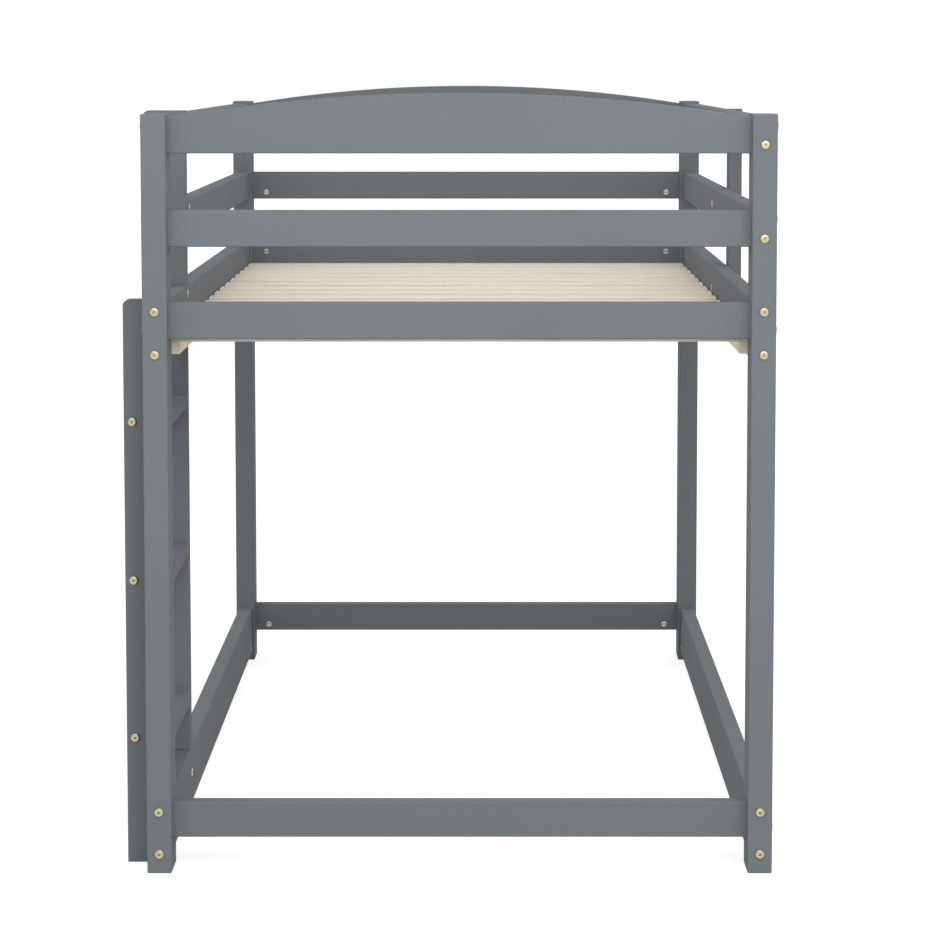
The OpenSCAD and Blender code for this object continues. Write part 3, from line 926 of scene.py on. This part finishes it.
@dataclass(frozen=True)
class Lamp:
    """One soft rectangular lamp, which lights the bed but isn't seen itself.

    Attributes:
        name: Name of the lamp.
        at: Place of its middle, in metres.
        towards: Point that it faces, in metres.
        size: Width and height, in metres.
        power: Power in watts.
    """

    name: str
    at: Point
    towards: Point
    size: Tuple[float, float]
    power: float

    def hang(self) -> bpy.types.Object:
        """Hang the lamp in its place, facing its aim.

        A lamp shines down its own axis. It is tipped by the angle between straight down and the aim, and
        then turned about the upright until it faces the aim.

        Returns:
            The lamp.
        """
        data = bpy.data.lights.new(self.name, "AREA")
        data.shape = "RECTANGLE"
        data.size, data.size_y = self.size
        data.energy = self.power
        lamp = bpy.data.objects.new(self.name, data)
        bpy.context.scene.collection.objects.link(lamp)
        aim = np.array(self.towards) - np.array(self.at)
        lamp.location = self.at
        lamp.rotation_euler = (
            math.acos(float(-aim[2] / np.linalg.norm(aim))),
            0.0,
            math.atan2(float(-aim[0]), float(aim[1])),
        )
        lamp.visible_camera = False
        return lamp


@dataclass
class Studio:
    """Pale floor, soft lamps, white surroundings and the camera.

    Attributes:
        floor_reach: Distance from the middle of the floor to its edges, in metres.
        floor_cells: Squares along one edge of the floor.
        floor_albedo: Share of the lamps' light that the floor sends back.
        floor_lift: Glow added to the floor where it is seen.
        ambient: Strength of the light from the surroundings.
        lamps: The lamps.
        camera_at: Place of the camera, in metres.
        camera_pitch: Its tilt below the level, in degrees.
        camera_lens: Its focal length, in millimetres.
        camera_shift: Shift of its view to the right and up, as shares of the sensor's width.
        sensor_width: Width of its sensor, in millimetres.
        clip_end: Greatest distance that it sees, in metres.
    """

    floor_reach: float = 60.0
    floor_cells: int = 24
    floor_albedo: float = 0.5
    floor_lift: float = 0.74
    ambient: float = 0.985
    lamps: Sequence[Lamp] = (
        Lamp("far_softbox", (0.0, -8.0, 1.9), (0.0, 0.0, 0.9), (4.0, 1.5), 24.0),
        Lamp("near_softbox", (0.0, -2.8, 2.2), (0.0, -1.0, 1.0), (3.0, 0.8), 18.0),
        Lamp("right_softbox", (0.8, -3.4, 1.9), (0.0, -1.0, 0.9), (3.0, 1.0), 15.0),
    )
    camera_at: Point = (0.0533, -6.3033, 1.3796)
    camera_pitch: float = 5.204
    camera_lens: float = 120.31
    camera_shift: Tuple[float, float] = (-0.0162, -0.125)
    sensor_width: float = 36.0
    clip_end: float = 300.0

    def floor_mesh(self) -> bpy.types.Object:
        """Build the floor as a square grid of points, evenly spaced in x and y, at a height of zero.

        Returns:
            The floor.
        """
        n = self.floor_cells + 1
        line = np.linspace(-self.floor_reach, self.floor_reach, n)
        x, y = np.meshgrid(line, line, indexing="xy")
        points = np.stack([x, y, np.zeros_like(x)], axis=-1).reshape(-1, 3)
        corner = (np.arange(n - 1)[:, None] * n + np.arange(n - 1)[None, :]).reshape(-1)
        faces = np.stack([corner, corner + 1, corner + n + 1, corner + n], axis=-1)
        mesh = bpy.data.meshes.new("floor")
        mesh.from_pydata(points.tolist(), [], faces.tolist())
        mesh.update()
        floor = bpy.data.objects.new("floor", mesh)
        bpy.context.scene.collection.objects.link(floor)
        return floor

    def floor_material(self) -> bpy.types.Material:
        """Make the pale floor: matt to the lamps, lifted to white where it is seen, with its shadows kept.

        Returns:
            The material.
        """
        material = bpy.data.materials.new("pale_floor")
        material.use_nodes = True
        tree = material.node_tree
        tree.nodes.clear()
        output = tree.nodes.new("ShaderNodeOutputMaterial")
        matt = tree.nodes.new("ShaderNodeBsdfDiffuse")
        matt.inputs["Color"].default_value = (self.floor_albedo,) * 3 + (1.0,)
        glow = tree.nodes.new("ShaderNodeEmission")
        glow.inputs["Color"].default_value = (1.0, 1.0, 1.0, 1.0)
        lift = self.seen(tree, self.floor_lift)
        tree.links.new(lift, glow.inputs["Strength"])
        both = tree.nodes.new("ShaderNodeAddShader")
        tree.links.new(matt.outputs["BSDF"], both.inputs[0])
        tree.links.new(glow.outputs["Emission"], both.inputs[1])
        tree.links.new(both.outputs["Shader"], output.inputs["Surface"])
        return material

    @staticmethod
    def seen(tree: bpy.types.NodeTree, strength: float) -> bpy.types.NodeSocket:
        """Give a strength to what the camera, a gloss or a glass sees, and nothing to the rest.

        Args:
            tree: Node tree to add to.
            strength: Strength where it is seen.

        Returns:
            The strength.
        """
        path = tree.nodes.new("ShaderNodeLightPath")
        either = tree.nodes.new("ShaderNodeMath")
        either.operation = "MAXIMUM"
        tree.links.new(path.outputs["Is Camera Ray"], either.inputs[0])
        tree.links.new(path.outputs["Is Glossy Ray"], either.inputs[1])
        any_of = tree.nodes.new("ShaderNodeMath")
        any_of.operation = "MAXIMUM"
        tree.links.new(either.outputs[0], any_of.inputs[0])
        tree.links.new(path.outputs["Is Transmission Ray"], any_of.inputs[1])
        times = tree.nodes.new("ShaderNodeMath")
        times.operation = "MULTIPLY"
        times.inputs[1].default_value = strength
        tree.links.new(any_of.outputs[0], times.inputs[0])
        return times.outputs[0]

    def surroundings(self) -> None:
        """Make the world: white where it is seen, and a soft even light on the bed."""
        world = bpy.data.worlds.new("studio")
        bpy.context.scene.world = world
        world.use_nodes = True
        tree = world.node_tree
        tree.nodes.clear()
        output = tree.nodes.new("ShaderNodeOutputWorld")
        back = tree.nodes.new("ShaderNodeBackground")
        back.inputs["Color"].default_value = (1.0, 1.0, 1.0, 1.0)
        lifted = tree.nodes.new("ShaderNodeMath")
        lifted.operation = "ADD"
        lifted.inputs[1].default_value = self.ambient
        tree.links.new(self.seen(tree, 1.0 - self.ambient), lifted.inputs[0])
        tree.links.new(lifted.outputs[0], back.inputs["Strength"])
        tree.links.new(back.outputs["Background"], output.inputs["Surface"])

    def camera(self) -> None:
        """Set up the camera at the view's height and distance, tilted down a little."""
        data = bpy.data.cameras.new("camera")
        data.lens = self.camera_lens
        data.sensor_width = self.sensor_width
        data.shift_x, data.shift_y = self.camera_shift
        data.clip_end = self.clip_end
        camera = bpy.data.objects.new("camera", data)
        camera.location = self.camera_at
        camera.rotation_euler = (math.radians(90.0 - self.camera_pitch), 0.0, 0.0)
        bpy.context.scene.collection.objects.link(camera)
        bpy.context.scene.camera = camera

    def build(self) -> None:
        """Build the whole studio."""
        self.floor_mesh().data.materials.append(self.floor_material())
        self.surroundings()
        for lamp in self.lamps:
            lamp.hang()
        self.camera()


def main() -> None:
    """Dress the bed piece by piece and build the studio."""
    logging.basicConfig(level=logging.INFO, format="%(name)s: %(message)s")
    bpy.context.scene.view_settings.view_transform = "Standard"
    assemblies: List[Assembly] = [
        Posts(),
        EndBoards(End.FRONT),
        EndBoards(End.REAR, first_board=21),
        SideRails(Side.LEFT),
        SideRails(Side.RIGHT, first_board=41),
        Uprights(),
        Rungs(),
        SlatDeck(),
        # Bolt sockets and nut slots and rims take darker plating as painted shade.
        TwoToneFittings("bolts", YELLOW_ZINC,
                        ("rail_bolts", "board_bolts", "rung_bolts", "stile_bolts", "plank_bolts"),
                        Sockets(), SOCKET_PAINTED_SHADE_ZINC),
        TwoToneFittings("round nuts", NUT_ZINC, ("rail_nuts", "board_nuts", "rung_nuts"),
                        Barrels(), NUT_RIM_PAINTED_SHADE_ZINC),
        Fittings("slat screws", YELLOW_ZINC, ("slat_screws",)),
        Fittings("inserts, cams and ledger screws", BRIGHT_ZINC,
                 ("threaded_inserts", "guard_cams", "cam_pins", "ledger_screws")),
        Dowels(),
    ]
    done: List[str] = []
    for assembly in assemblies:
        nodes = assembly.dress()
        done += nodes
        log.info("%s: %s", assembly.title, ", ".join(nodes))
    left = sorted(set(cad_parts) - set(done))
    log.info("nodes without a finish: %s", left or "none")
    Studio().build()


if __name__ == "__main__":
    main()
